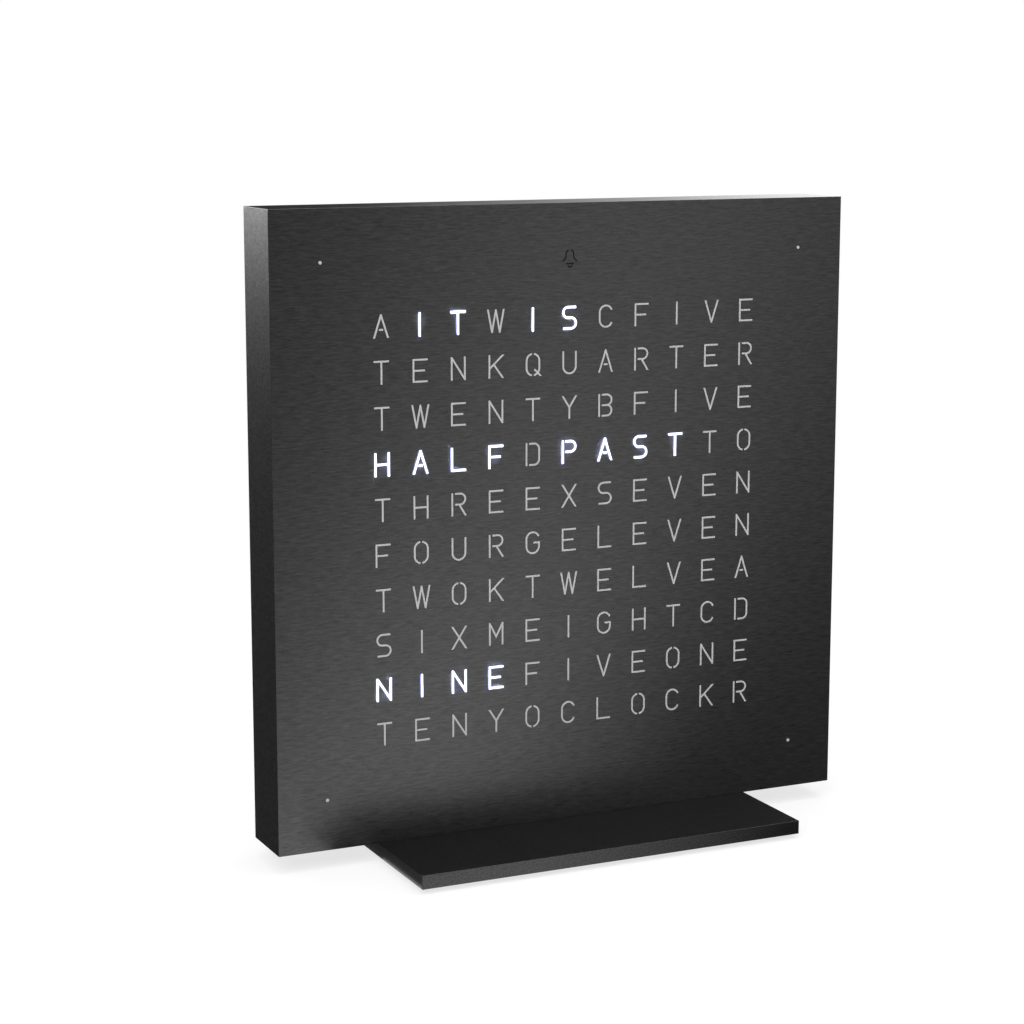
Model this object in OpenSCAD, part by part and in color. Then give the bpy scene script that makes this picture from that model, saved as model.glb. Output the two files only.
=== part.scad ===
// Desk word clock: a square steel case with stencil-cut letters, lit from behind, on a flat base plate.
// Millimetres. X runs right as seen from the front, Y runs to the back, Z runs up.
// The origin is on the table, under the middle of the base plate.

/* [Case] */
// Side of the square face
face_size = 135; // [133:1:150]
// Depth of the steel case, from the face to its rear edge
case_depth = 15; // [15:0.5:19]
// Thickness of the steel sheet of the face and the case walls
sheet_t = 1.2; // [1:0.05:1.4]
// Width of the rim round the lit panel, from the case's outer side to the panel's edge
rim_w = 8.5; // [8.5:0.25:9]
// Diameter of the threaded posts in the corners of the case
post_d = 6; // [5.5:0.25:6]
// Gap between a corner post and the case wall
post_gap = 1.7; // [1.5:0.1:1.7]

/* [Rear cover] */
// How far the cover stands out of the case
cover_proud = 3; // [3:0.25:5]
// Step from the case's outer side to the cover's raised part
cover_inset = 2.5; // [1.8:0.1:2.6]
// Corner radius of the cover's raised part
cover_corner_r = 3; // [1:0.5:4]
// Back wall of the cover
cover_t = 2; // [1.6:0.1:2]
// Thickness of the cover's flange inside the case
flange_t = 2; // [1.6:0.1:2.4]
// Width of one sound slot
slot_w = 1.2; // [0.8:0.1:1.5]
// Length of the middle sound slot
slot_l = 13; // [9:0.5:14]
// Distance between two sound slots
slot_pitch = 2.6; // [2.4:0.1:2.8]
// Number of sound slots
slot_count = 5; // [3:2:5]

/* [Base] */
// Width of the base plate
base_w = 90; // [80:1:110]
// Depth of the base plate
base_d = 70; // [64:1:90]
// Thickness of the base plate
base_t = 3; // [2.8:0.1:3.4]
// How far the base plate stands out in front of the face
base_reach = 24; // [18:1:28]
// Distance of each base screw from the middle
base_screw_x = 25; // [18:1:32]
// Diameter of a rubber foot
foot_d = 10; // [8:0.5:14]
// Height of a rubber foot
foot_t = 1; // [0.8:0.1:2]
// Distance from the base plate's sides to the middle of a foot
foot_inset = 8; // [7.5:0.5:12]

/* [Letters] */
// Distance between two columns of letters
pitch_x = 8.67; // [8:0.01:9]
// Distance between two rows of letters
pitch_z = 9.63; // [9:0.01:9.8]
// How far the middle of the letters lies below the middle of the face
letters_drop = 0.25; // [0:0.05:0.5]
// Width of a letter, between the middles of its strokes
letter_w = 3; // [2.8:0.05:3.2]
// Height of a letter, between the middles of its strokes
letter_h = 4.58; // [4.2:0.02:4.9]
// Width of a slot cut through the face
stroke_w = 0.42; // [0.36:0.02:0.5]
// Clear bridge that holds the inside of a letter to the face
bridge_w = 0.42; // [0.36:0.02:0.5]
// Distance of a minute dot from the sides of the face
dot_inset = 11; // [11:0.25:12.5]
// Diameter of a minute dot
dot_d = 0.75; // [0.6:0.05:1.2]

/* [Alarm symbol] */
// Distance of the symbol's middle from the top of the face
bell_drop = 11.45; // [11.2:0.05:12]
// Width of the bell at its rim
bell_w = 3.2; // [2.8:0.1:3.6]
// Height of the bell from its rim to its crown
bell_h = 2.9; // [2.6:0.1:3.2]
// Width of the symbol's slots
bell_stroke_w = 0.32; // [0.28:0.02:0.4]
// Width of the smoked window behind the symbol
window_w = 8; // [7:0.25:9]
// Distance from the symbol's middle down to the window's lower edge
window_below = 4; // [3.5:0.25:4.5]
// Wall of the light grid round the window's well
window_wall = 1; // [0.8:0.1:1]

/* [Light stack] */
// Thickness of the diffuser sheet
diffuser_t = 0.8; // [0.6:0.1:1]
// How far the filling of the slots stands out of the face
inlay_proud = 0.08; // [0.02:0.02:0.12]
// Gap all round between the filling and the slot
inlay_gap = 0.02; // [0.01:0.005:0.03]
// Depth of the light grid
grid_t = 4; // [3.6:0.1:4]
// Wall between two cells of the light grid
cell_wall = 1.2; // [0.9:0.1:1.6]
// Diameter of a minute dot's own light well
dot_well_d = 4; // [3:0.25:4]
// Thickness of both circuit boards
board_t = 1.2; // [1:0.1:1.2]
// Side of a light-emitting diode
led_size = 2; // [1.6:0.1:2.8]
// Height of a light-emitting diode
led_t = 0.8; // [0.6:0.1:1]
// Distance of the panel screws from the panel's edge
panel_screw_inset = 5; // [4:0.25:5.5]

/* [Chassis] */
// Thickness of the chassis web behind the light panel
web_t = 1.2; // [1:0.1:1.2]
// Height of the standoffs that carry the controller board
standoff_h = 1.3; // [1.3:0.1:1.5]
// Diameter of the standoffs
standoff_d = 6; // [5:0.25:7]
// Width of the chassis bars
bar_w = 8; // [7:0.5:9]

/* [Controller] */
// Width of the controller board
controller_w = 84; // [82:1:96]
// Height of the controller board
controller_h = 44; // [44:1:48]
// Height of the controller board's middle above the table
controller_z = 62; // [61:0.5:63]
// Distance of the board screws from the controller board's sides
controller_screw_inset = 4; // [3:0.25:4]
// Diameter of the sounder
sounder_d = 17; // [14:0.5:17]
// Height of the sounder
sounder_t = 4.3; // [3:0.1:4.5]
// Diameter of the backup cell
cell_d = 16; // [12:0.5:16]
// Thickness of the backup cell
cell_t = 3.2; // [1.6:0.1:3.2]

/* [Keys] */
// Distance between two keys
key_pitch = 16; // [13:0.5:17]
// Diameter of a key where it shows
key_d = 7; // [6:0.25:8]
// How far a key stands out of the rear cover
key_proud = 0.6; // [0.6:0.05:1]
// Travel of a key
key_travel = 0.5; // [0.2:0.05:0.55]
// Gap all round between a key and its hole
key_gap = 0.15; // [0.1:0.01:0.2]
// Side of a key switch
switch_size = 6.2; // [5.8:0.1:7]
// Height of a key switch without its plunger
switch_h = 2.7; // [2.4:0.1:2.8]
// Diameter of a switch plunger
plunger_d = 3.5; // [2.8:0.1:3.6]

/* [Power inlet] */
// Distance of the inlet from the middle of the clock, to the left as seen from behind
inlet_x = 26; // [22:0.5:30]
// Height of the inlet above the table
inlet_z = 29; // [28.5:0.25:30]
// Diameter of the inlet's barrel
inlet_d = 8; // [7.6:0.1:8.4]
// Diameter of the hole that takes the plug
plug_hole_d = 6.4; // [6:0.1:6.6]
// Diameter of the centre pin
pin_d = 2.1; // [1.9:0.1:2.5]

/* [Hidden] */
$fn = 48;
// Extra length of a cutting tool, so that it passes right through
cut = 1;

// What the letters say, row by row from the top
LETTERS = [
  "AITWISCFIVE",
  "TENKQUARTER",
  "TWENTYBFIVE",
  "HALFDPASTTO",
  "THREEXSEVEN",
  "FOURGELEVEN",
  "TWOKTWELVEA",
  "SIXMEIGHTCD",
  "NINEFIVEONE",
  "TENYOCLOCKR"
];
rows = len(LETTERS);
columns = len(LETTERS[0]);

// Heights above the table
base_z = foot_t;
case_z = base_z + base_t;
mid_z = case_z + face_size / 2;
top_z = case_z + face_size;
letters_z = mid_z - letters_drop;
bell_z = top_z - bell_drop;

// The stack, from the face to the back
y_face = base_reach - base_d / 2;
y_sheet = y_face + sheet_t;
y_diffuser = y_sheet + diffuser_t;
y_grid = y_diffuser + grid_t;
y_board = y_grid + board_t;
y_web = y_board + web_t;
y_controller = y_web + standoff_h;
y_parts = y_controller + board_t;
y_rear = y_face + case_depth;
y_seat = y_rear - flange_t;
y_back = y_rear + cover_proud;
y_inner = y_back - cover_t;

// Half widths of the square pieces
half_face = face_size / 2;
half_inside = half_face - sheet_t;
half_panel = half_face - rim_w;
panel_size = 2 * half_panel;
// Gap between pieces that are slid into each other by hand
fit = 0.2;
half_rail = half_inside - fit;
half_rail_in = half_panel + fit;
half_cover = half_face - cover_inset;
half_pocket = half_panel - 1;
post_at = half_inside - post_gap - post_d / 2;
dot_at = half_face - dot_inset;

// Screws: M3 for the case, 2 mm for the boards
m3_d = 3;
m3_head_d = 5.5;
m3_head_t = 1.6;
small_d = 2;
small_head_d = 3.8;
small_head_t = 1.2;
// Gap all round a thread in its tapped or moulded hole, and round a shank that passes through
thread_gap = 0.03;
shank_gap = 0.2;
cover_screw_l = 10;
base_screw_l = 8;
insert_d = 4.6;
insert_l = 5;
// The base screws stand in the middle of the case's depth, under the chassis rail
base_screw_y = y_face + case_depth / 2;
// A countersunk head lies this far below the surface
head_sink = 0.1;

// Panel screws lie in the margin round the letters: three up each side, and two along the top and the bottom
panel_screw_at = half_panel - panel_screw_inset;
side_screw_rise = 0.7 * half_panel;
end_screw_x = 0.47 * half_panel;
PANEL_SCREWS = concat(
  [for (side = [-1, 1], row = [-1, 0, 1]) [side * panel_screw_at, mid_z + row * side_screw_rise]],
  [for (side = [-1, 1], end = [-1, 1]) [side * end_screw_x, mid_z + end * panel_screw_at]]
);
panel_screw_l = web_t + board_t + 0.8 * grid_t;
panel_screw_hole_l = 0.9 * grid_t;

// Driver chips on the light board
driver_size = 7;
driver_t = 1;

// The diode and the light sensor share the alarm window
window_part_x = 0.65 * led_size;

// The touch spring: a strip that stands on the light board and leans back to the case's top wall
spring_w = 4;
spring_t = 0.3;
spring_foot_l = 6;
spring_lean = 2.2;
spring_tip_l = 2;
// Room in the chassis round the spring, and round a corner post
spring_room = 1;
post_room = 0.7;

// The controller board and what stands on it
controller_low = controller_z - controller_h / 2;
controller_high = controller_z + controller_h / 2;
controller_screw_x = controller_w / 2 - controller_screw_inset;
controller_screw_z = controller_h / 2 - controller_screw_inset;
CONTROLLER_SCREWS = [
  for (side = [-1, 1], end = [-1, 1])
    [side * controller_screw_x, controller_z + end * controller_screw_z]
];
controller_screw_l = board_t + standoff_h + web_t - fit;
// Clear strip along the board's lower edge, and between the power socket and the cell holder above it
board_edge = 0.4;
holder_room = 0.7;
socket_w = 7.6;
socket_h = 4.4;
socket_t = 3.4;
socket_bore_l = 2;
socket_low = controller_low + board_edge;
cell_x = 27;
holder_wall = 1.2;
holder_floor = 0.7;
holder_w = cell_d + 2 * holder_wall;
holder_h = cell_d + 1;
// How far the cell stands out of its holder
cell_show = 0.2;
// The cell's smaller face: how much narrower it is, and its share of the thickness
cell_step = 2;
cell_step_share = 0.25;
clip_w = 4;
clip_t = 0.3;
// Height of the middle of the cell, the sounder and the microcontroller
part_z = socket_low + socket_h + holder_room + holder_h / 2;
sounder_x = -29;
sounder_hole_d = 2.2;
chip_x = -6;
chip_size = 10;
chip_t = 1.4;
chip_legs = 11;
chip_leg_pitch = 0.8;
chip_leg_w = 0.35;
chip_leg_t = 0.25;
chip_leg_reach = 1;
// Clear board between the microcontroller and the crystal above it
chip_room = 2.9;
// The crystal's can lies above the microcontroller
crystal_w = 10.2;
crystal_h = 4.2;
crystal_t = 3.2;
crystal_z = part_z + chip_size / 2 + chip_leg_reach + chip_room + crystal_h / 2;
cap_x = 9;
cap_d = 6.3;
cap_t = 4.5;
cap_pitch = 8;
cap_high = part_z + 9.5;
// The square foot of a capacitor: how far it stands out, and its thickness
cap_foot = 0.2;
cap_foot_t = 0.8;
regulator_w = 6.5;
regulator_h = 3.5;
regulator_t = 1.6;
regulator_z = part_z - 8.5;
regulator_lead_pitch = 2.3;
regulator_lead_w = 0.7;
regulator_lead_l = 1.6;
regulator_lead_t = 0.3;
regulator_tab_w = 3;
regulator_tab_l = 1.3;
link_x = -26;
link_z = controller_z + 5;
link_pins = 5;
link_pitch = 2.54;
link_body_w = 2.5;
link_pin_d = 0.7;
link_pin_root = 0.5;
link_pin_show = 0.9;

// Keys and their switches
key_drop = 9;
key_z = controller_high - key_drop;
KEY_X = [for (i = [0:3]) (i - 1.5) * key_pitch];
switch_top = y_parts + switch_h;
plunger_gap = 0.05;
// Room left under a plunger that is pressed down, and the part of it that still shows
plunger_room = 0.1;
plunger_rest = 0.3;
plunger_show = key_travel + plunger_rest;
plunger_top = switch_top + plunger_show;
plunger_seat = 0.8;
key_stem_d = plunger_d + 1.6;
key_flange_d = key_d + 2.4;
key_flange_t = 0.8;
symbol_depth = 0.2;
symbol_w = 0.5;

// The power inlet
inlet_flange_d = inlet_d + 3;
inlet_flange_t = 0.8;
inlet_floor = 1.2;
pin_root_d = pin_d - 0.6;
// How far the pin's tip lies below the cover's back
pin_sunk = 0.2;
inlet_tip = y_board + 2.3;
nut_t = 1.8;
nut_d = inlet_d + 3.5;
tab_w = 1.6;
tab_l = 2.2;
tab_t = 0.5;
tab_y = inlet_tip + 0.7;
tab_root = 0.3;
lead_d = 1.1;
lead_step = 3;
lead_y = y_parts + socket_t / 2;
// A lead rises straight from its tab, leans back to the socket and ends inside it
lead_rise = 1.6;
lead_lean = 2.4;
lead_end = 1.5;
// How much thicker a lead is where it bends
bend_swell = 1.04;

// ---------------------------------------------------------------------------------------------------------
// Letters. A stroke is [path, start, end]: the path is a list of points, or an arc [x, z, radius, from, to],
// and an end is 1 where the stroke stops free, or 0 where it runs into another one.

hw = letter_w / 2;
hh = letter_h / 2;
// Radius of the bowls of B, P, R and S, and of the corners of D
bowl_r = hh / 2;
corner_r = hw * 0.8;
// Where the bars of a bowl start, right of the stem
bar_x = -hw + stroke_w + bridge_w;
bowl_x = hw - bowl_r;
// Half the angle that a bridge takes of a round letter, and half the angle of the opening of C and G
bridge_a = asin((stroke_w + bridge_w) / 2 / hw);
open_a = 28;
round_z = hh - hw;
// Where the short bars of A, E and F end
bar_a = hw / 6;
bar_e = hw * 0.6;

function line(x0, z0, x1, z1) = [[x0, z0], [x1, z1]];
function loose(path) = [path, 1, 1];
function rooted(path) = [path, 0, 1];
function bound(path) = [path, 0, 0];

function stem() = loose(line(-hw, -hh, -hw, hh));
function bowl(z) = [
  rooted(line(bowl_x, z + bowl_r, bar_x, z + bowl_r)),
  bound([bowl_x, z, bowl_r, -90, 90]),
  rooted(line(bowl_x, z - bowl_r, bar_x, z - bowl_r))
];
function open_round() = [
  rooted([0, round_z, hw, 180, open_a]),
  bound(line(-hw, -round_z, -hw, round_z))
];
function ring() = [
  bound(line(-hw, -round_z, -hw, round_z)),
  bound(line(hw, -round_z, hw, round_z)),
  rooted([0, round_z, hw, 0, 90 - bridge_a]),
  rooted([0, round_z, hw, 180, 90 + bridge_a]),
  rooted([0, -round_z, hw, 180, 270 - bridge_a]),
  rooted([0, -round_z, hw, 360, 270 + bridge_a])
];

function glyph(c) =
  c == "A" ? [loose([[-hw, -hh], [0, hh], [hw, -hh]]), loose(line(-bar_a, -hh / 3, bar_a, -hh / 3))] :
  c == "B" ? concat([stem()], bowl(bowl_r), bowl(-bowl_r)) :
  c == "C" ? concat(open_round(), [rooted([0, -round_z, hw, 180, 360 - open_a])]) :
  c == "D" ? [
    stem(),
    rooted(line(hw - corner_r, hh, bar_x, hh)),
    bound([hw - corner_r, hh - corner_r, corner_r, 0, 90]),
    bound(line(hw, hh - corner_r, hw, corner_r - hh)),
    bound([hw - corner_r, corner_r - hh, corner_r, -90, 0]),
    rooted(line(hw - corner_r, -hh, bar_x, -hh))
  ] :
  c == "E" ? [loose([[hw, hh], [-hw, hh], [-hw, -hh], [hw, -hh]]), rooted(line(-hw, 0, bar_e, 0))] :
  c == "F" ? [loose([[hw, hh], [-hw, hh], [-hw, -hh]]), rooted(line(-hw, 0, bar_e, 0))] :
  c == "G" ? concat(open_round(), [
    bound([0, -round_z, hw, 180, 360]),
    rooted([[hw, -round_z], [hw, 0], [hw / 4, 0]])
  ]) :
  c == "H" ? [stem(), loose(line(hw, -hh, hw, hh)), bound(line(-hw, 0, hw, 0))] :
  c == "I" ? [loose(line(0, -hh, 0, hh))] :
  c == "K" ? [stem(), rooted(line(-hw, -hh / 5, hw, hh)), rooted(line(-hw / 3, hh / 5, hw, -hh))] :
  c == "L" ? [loose([[-hw, hh], [-hw, -hh], [hw, -hh]])] :
  c == "M" ? [loose([[-hw, -hh], [-hw, hh], [0, -hh / 4], [hw, hh], [hw, -hh]])] :
  c == "N" ? [loose([[-hw, -hh], [-hw, hh], [hw, -hh], [hw, hh]])] :
  c == "O" ? ring() :
  c == "P" ? concat([stem()], bowl(bowl_r)) :
  c == "Q" ? concat(ring(), [loose(line(hw / 3, -hh / 2, hw * 1.1, -hh))]) :
  c == "R" ? concat([stem()], bowl(bowl_r), [rooted(line(bowl_x - bowl_r / 4, 0, hw, -hh))]) :
  c == "S" ? [
    rooted(line(-bowl_x, hh, hw * 0.85, hh)),
    bound([-bowl_x, bowl_r, bowl_r, 90, 270]),
    bound(line(-bowl_x, 0, bowl_x, 0)),
    bound([bowl_x, -bowl_r, bowl_r, -90, 90]),
    rooted(line(bowl_x, -hh, -hw * 0.85, -hh))
  ] :
  c == "T" ? [loose(line(-hw, hh, hw, hh)), rooted(line(0, hh, 0, -hh))] :
  c == "U" ? [
    rooted(line(-hw, -round_z, -hw, hh)),
    rooted(line(hw, -round_z, hw, hh)),
    bound([0, -round_z, hw, 180, 360])
  ] :
  c == "V" ? [loose([[-hw, hh], [0, -hh], [hw, hh]])] :
  c == "W" ? [loose([[-hw * 1.2, hh], [-hw * 0.6, -hh], [0, hh], [hw * 0.6, -hh], [hw * 1.2, hh]])] :
  c == "X" ? [loose(line(-hw, hh, hw, -hh)), loose(line(-hw, -hh, hw, hh))] :
  c == "Y" ? [loose([[-hw, hh], [0, 0], [hw, hh]]), rooted(line(0, 0, 0, -hh))] :
  [];

// The alarm symbol: a dome that is open at the crown, flared sides, a rim and a clapper
bell_r = bell_w * 0.28;
bell_dome = bell_h / 2 - bell_r;
bell_waist = bell_dome - bell_h / 4;
bell_flare = -bell_h * 0.3;
bell_rim = -bell_h / 2;
bell_clapper = -bell_h * 0.6;
function bell_side(side) = rooted([
  [side * bell_r, bell_dome],
  [side * bell_r, bell_waist],
  [side * bell_w / 2, bell_flare]
]);
BELL = [
  rooted([0, bell_dome, bell_r, 0, 90 - open_a]),
  rooted([0, bell_dome, bell_r, 180, 90 + open_a]),
  bell_side(-1),
  bell_side(1),
  loose(line(-bell_w / 4, bell_rim, bell_w / 4, bell_rim)),
  loose([0, bell_clapper, bell_r / 2, 205, 335])
];

function unit(v) = v / norm(v);
function left_of(a, b) = let (u = unit(b - a)) [-u[1], u[0]];

// The point at distance d to the left of point i of a path, on the mitre where the path turns
function beside(path, i, d) =
  let (
    before = i == 0 ? left_of(path[0], path[1]) : left_of(path[i - 1], path[i]),
    after = i == len(path) - 1 ? before : left_of(path[i], path[i + 1])
  )
  path[i] + d * (before + after) / (1 + before * after);

// A free end reaches half a stroke past its point p. At the head or foot of a letter a slanted or upright one
// reaches further, to be cut off level there.
function reach(p, q, w) = abs(p[1]) < hh || p[1] == q[1] ? w / 2 : 2 * w;
function drawn_out(p, q, end, w) = p + end * reach(p, q, w) * unit(p - q);

// One stroke of width w, flat in its own plane
module stroke(s, w) {
  if (is_list(s[0][0]))
    straight_stroke(s[0], s[1], s[2], w);
  else
    round_stroke(s[0], s[1], s[2], w);
}

module straight_stroke(path, start, end, w) {
  last = len(path) - 1;
  run = [
    for (i = [0:last])
      i == 0 ? drawn_out(path[0], path[1], start, w) :
      i == last ? drawn_out(path[last], path[last - 1], end, w) :
      path[i]
  ];
  intersection() {
    polygon(concat(
      [for (i = [0:last]) beside(run, i, w / 2)],
      [for (i = [last:-1:0]) beside(run, i, -w / 2)]
    ));
    square([pitch_x, letter_h + w], center = true);
  }
}

module round_stroke(arc, start, end, w) {
  r = arc[2];
  way = sign(arc[4] - arc[3]);
  over = w / 2 / r * 180 / PI;
  from = arc[3] - way * start * over;
  to = arc[4] + way * end * over;
  steps = 4;
  turn = (to - from) / steps;
  translate([arc[0], arc[1]])
    intersection() {
      difference() {
        circle(r = r + w / 2);
        circle(r = r - w / 2);
      }
      polygon(concat([[0, 0]], [for (i = [0:steps]) 2 * (r + w) * [cos(from + i * turn), sin(from + i * turn)]]));
    }
}

// Puts a flat drawing upright in the XZ plane at (x, z) and gives it depth from y0 back to y1
module upright(x, z, y0, y1) {
  translate([x, y1, z])
    rotate([90, 0, 0])
      linear_extrude(height = y1 - y0)
        children();
}

// All the letters and minute dots, with strokes w wide, from y0 back to y1
module letters(w, y0, y1) {
  for (row = [0:rows - 1], column = [0:columns - 1])
    upright(
      (column - (columns - 1) / 2) * pitch_x,
      letters_z + ((rows - 1) / 2 - row) * pitch_z,
      y0, y1
    )
      for (s = glyph(LETTERS[row][column]))
        stroke(s, w);
  for (p = corners(dot_at))
    upright(p[0], p[1], y0, y1)
      circle(d = dot_d + w - stroke_w, $fn = 24);
}

module bell(w, y0, y1) {
  upright(0, bell_z, y0, y1)
    for (s = BELL)
      stroke(s, w);
}

// ---------------------------------------------------------------------------------------------------------
// Shapes that repeat

// The four points at a distance from the middle of the face
function corners(at) = [for (side = [-1, 1], end = [-1, 1]) [side * at, mid_z + end * at]];

// A block between two opposite corners
module block(low, high) {
  translate(low)
    cube(high - low);
}

// A square slab of half width h round the middle of the face
module slab(h, y0, y1) {
  block([-h, y0, mid_z - h], [h, y1, mid_z + h]);
}

// A round bar along Y at (x, z)
module rod(x, z, d, y0, y1) {
  translate([x, y1, z])
    rotate([90, 0, 0])
      cylinder(d = d, h = y1 - y0);
}

// A square slab with round corners
module round_slab(h, r, y0, y1) {
  upright(0, mid_z, y0, y1) {
    square([2 * h, 2 * (h - r)], center = true);
    square([2 * (h - r), 2 * h], center = true);
    for (sx = [-1, 1], sz = [-1, 1])
      translate([sx * (h - r), sz * (h - r)])
        circle(r = r);
  }
}

// A countersunk screw along +Z, its head's flat top at z = 0 and its tip below
module countersunk_screw(d, length, head_d, head_t) {
  difference() {
    union() {
      translate([0, 0, -head_t])
        cylinder(d1 = d, d2 = head_d, h = head_t);
      translate([0, 0, -length])
        cylinder(d = d, h = length - head_t);
    }
    cross_recess(head_d * 0.5, head_t * 0.55);
  }
}

// A pan-head screw along +Z, the underside of its head at z = 0
module pan_screw(d, length, head_d, head_t) {
  difference() {
    union() {
      cylinder(d = head_d, h = head_t);
      translate([0, 0, -length])
        cylinder(d = d, h = length);
    }
    translate([0, 0, head_t])
      cross_recess(head_d * 0.55, head_t * 0.5);
  }
}

module cross_recess(width, depth) {
  for (turn = [0, 90])
    rotate(turn)
      translate([-width / 2, -width / 8, -depth])
        cube([width, width / 4, depth + cut]);
}

// The hole for a countersunk screw
module countersunk_hole(d, depth, head_d, head_t) {
  translate([0, 0, -head_t - head_sink])
    cylinder(d1 = d, d2 = head_d + 2 * head_sink, h = head_t + head_sink);
  translate([0, 0, -depth])
    cylinder(d = d + 2 * shank_gap, h = depth);
}

// Places a screw that is driven towards the front
module from_behind(x, y, z) {
  translate([x, y, z])
    rotate([-90, 0, 0])
      children();
}

// ---------------------------------------------------------------------------------------------------------
// Case

module front_plate() {
  color("#3a3a3c")
    difference() {
      slab(half_face, y_face, y_sheet);
      letters(stroke_w, y_face - cut, y_sheet + cut);
      bell(bell_stroke_w, y_face - cut, y_sheet + cut);
    }
}

module side_frame() {
  color("#2e2e30")
    difference() {
      slab(half_face, y_sheet, y_rear);
      slab(half_inside, y_sheet - cut, y_rear + cut);
      for (side = [-1, 1])
        translate([side * base_screw_x, base_screw_y, case_z - cut])
          cylinder(d = m3_d + 2 * shank_gap, h = sheet_t + 2 * cut);
    }
}

// Four threaded posts, welded to the back of the face
module frame_posts() {
  color("#8f9194")
    for (p = corners(post_at))
      difference() {
        rod(p[0], p[1], post_d, y_sheet, y_seat);
        rod(p[0], p[1], m3_d + 2 * thread_gap, y_sheet + sheet_t, y_seat + cut);
      }
}

// ---------------------------------------------------------------------------------------------------------
// Light panel

module letter_diffuser() {
  color("#cfd0d2")
    union() {
      difference() {
        slab(half_panel, y_sheet, y_diffuser);
        window_block(-fit, y_sheet - cut, y_diffuser + cut);
      }
      letters(stroke_w - 2 * inlay_gap, y_face - inlay_proud, y_diffuser - diffuser_t / 2);
    }
}

// The window's place at the top edge of the panel, drawn in by an inset on all four sides
module window_block(inset, y0, y1) {
  block(
    [inset - window_w / 2, y0, bell_z - window_below + inset],
    [window_w / 2 - inset, y1, mid_z + half_panel - inset]
  );
}

module alarm_window() {
  color("#1c1c1e")
    union() {
      window_block(0, y_sheet, y_diffuser);
      bell(bell_stroke_w - 2 * inlay_gap, y_face, y_diffuser - diffuser_t / 2);
    }
}

module light_grid() {
  color("#18181a")
    difference() {
      slab(half_panel, y_diffuser, y_grid);
      for (row = [0:rows - 1], column = [0:columns - 1])
        translate([
          (column - (columns - 1) / 2) * pitch_x,
          (y_diffuser + y_grid) / 2,
          letters_z + ((rows - 1) / 2 - row) * pitch_z
        ])
          cube([pitch_x - cell_wall, grid_t + 2 * cut, pitch_z - cell_wall], center = true);
      for (p = corners(dot_at))
        rod(p[0], p[1], dot_well_d, y_diffuser - cut, y_grid + cut);
      window_block(window_wall, y_diffuser - cut, y_grid + cut);
      for (p = PANEL_SCREWS)
        rod(p[0], p[1], small_d + 2 * thread_gap, y_grid - panel_screw_hole_l, y_grid + cut);
    }
}

module led_board() {
  color("#e9eaea")
    difference() {
      slab(half_panel, y_grid, y_board);
      for (p = PANEL_SCREWS)
        rod(p[0], p[1], small_d + 2 * shank_gap, y_grid - cut, y_board + cut);
    }
}

// A diode in its well, on the front of the light board
module led(x, z) {
  block([x - led_size / 2, y_grid - led_t, z - led_size / 2], [x + led_size / 2, y_grid, z + led_size / 2]);
}

module word_leds() {
  color("#f4f2e4")
    for (row = [0:rows - 1], column = [0:columns - 1])
      led((column - (columns - 1) / 2) * pitch_x, letters_z + ((rows - 1) / 2 - row) * pitch_z);
}

module minute_leds() {
  color("#f4f2e4")
    for (p = corners(dot_at))
      led(p[0], p[1]);
}

module alarm_led() {
  color("#f4f2e4")
    led(-window_part_x, bell_z);
}

module light_sensor() {
  color("#2b2b30")
    led(window_part_x, bell_z);
}

// Driver chips on the back of the light board, in the windows of the chassis
module led_drivers() {
  color("#232326")
    for (side = [-1, 1], end = [-1, 1]) {
      x = side * web_side / 2;
      z = mid_z + end * (web_side - bar_w);
      block(
        [x - driver_size / 2, y_board, z - driver_size / 2],
        [x + driver_size / 2, y_board + driver_t, z + driver_size / 2]
      );
    }
}

module panel_screws() {
  color("#a9abad")
    for (p = PANEL_SCREWS)
      from_behind(p[0], y_web, p[1])
        pan_screw(small_d, panel_screw_l, small_head_d, small_head_t);
}

// ---------------------------------------------------------------------------------------------------------
// Chassis: a rail round the panel, with a web of bars behind it

web_low = controller_z - controller_screw_z;
web_high = controller_z + controller_screw_z;
web_margin = 6;
web_side = panel_screw_at - web_margin;

module chassis() {
  color("#1d1d1f")
    difference() {
      union() {
        difference() {
          slab(half_rail, y_sheet, y_seat);
          slab(half_rail_in, y_sheet - cut, y_board);
          slab(half_rail_in, y_web, y_seat + cut);
        }
        for (p = CONTROLLER_SCREWS)
          rod(p[0], p[1], standoff_d, y_web - web_t / 2, y_controller);
      }
      // Windows between the bars
      for (side = [-1, 1]) {
        web_window(side, mid_z - web_side, web_low - bar_w / 2);
        web_window(side, web_low + bar_w / 2, web_high - bar_w / 2);
        web_window(side, web_high + bar_w / 2, mid_z + web_side);
      }
      for (p = PANEL_SCREWS)
        rod(p[0], p[1], small_d + 2 * shank_gap, y_board - cut, y_web + cut);
      for (p = CONTROLLER_SCREWS)
        rod(p[0], p[1], small_d + 2 * thread_gap, y_board - cut, y_controller + cut);
      // Room for the corner posts
      for (p = corners(post_at))
        translate([p[0], (y_sheet + y_seat) / 2, p[1]])
          corner_notch(p);
      // Seats of the threaded inserts
      for (side = [-1, 1])
        translate([side * base_screw_x, base_screw_y, case_z])
          cylinder(d = insert_d + 2 * thread_gap, h = sheet_t + fit + insert_l);
      // Way for the touch spring
      block(
        [-spring_w / 2 - spring_room, y_board - fit, mid_z + half_panel - spring_foot_l - spring_room],
        [spring_w / 2 + spring_room, y_seat + cut, top_z]
      );
    }
}

module web_window(side, z0, z1) {
  x0 = bar_w / 2;
  x1 = web_side;
  block(
    [min(side * x0, side * x1), y_board - cut, z0],
    [max(side * x0, side * x1), y_web + cut, z1]
  );
}

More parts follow.
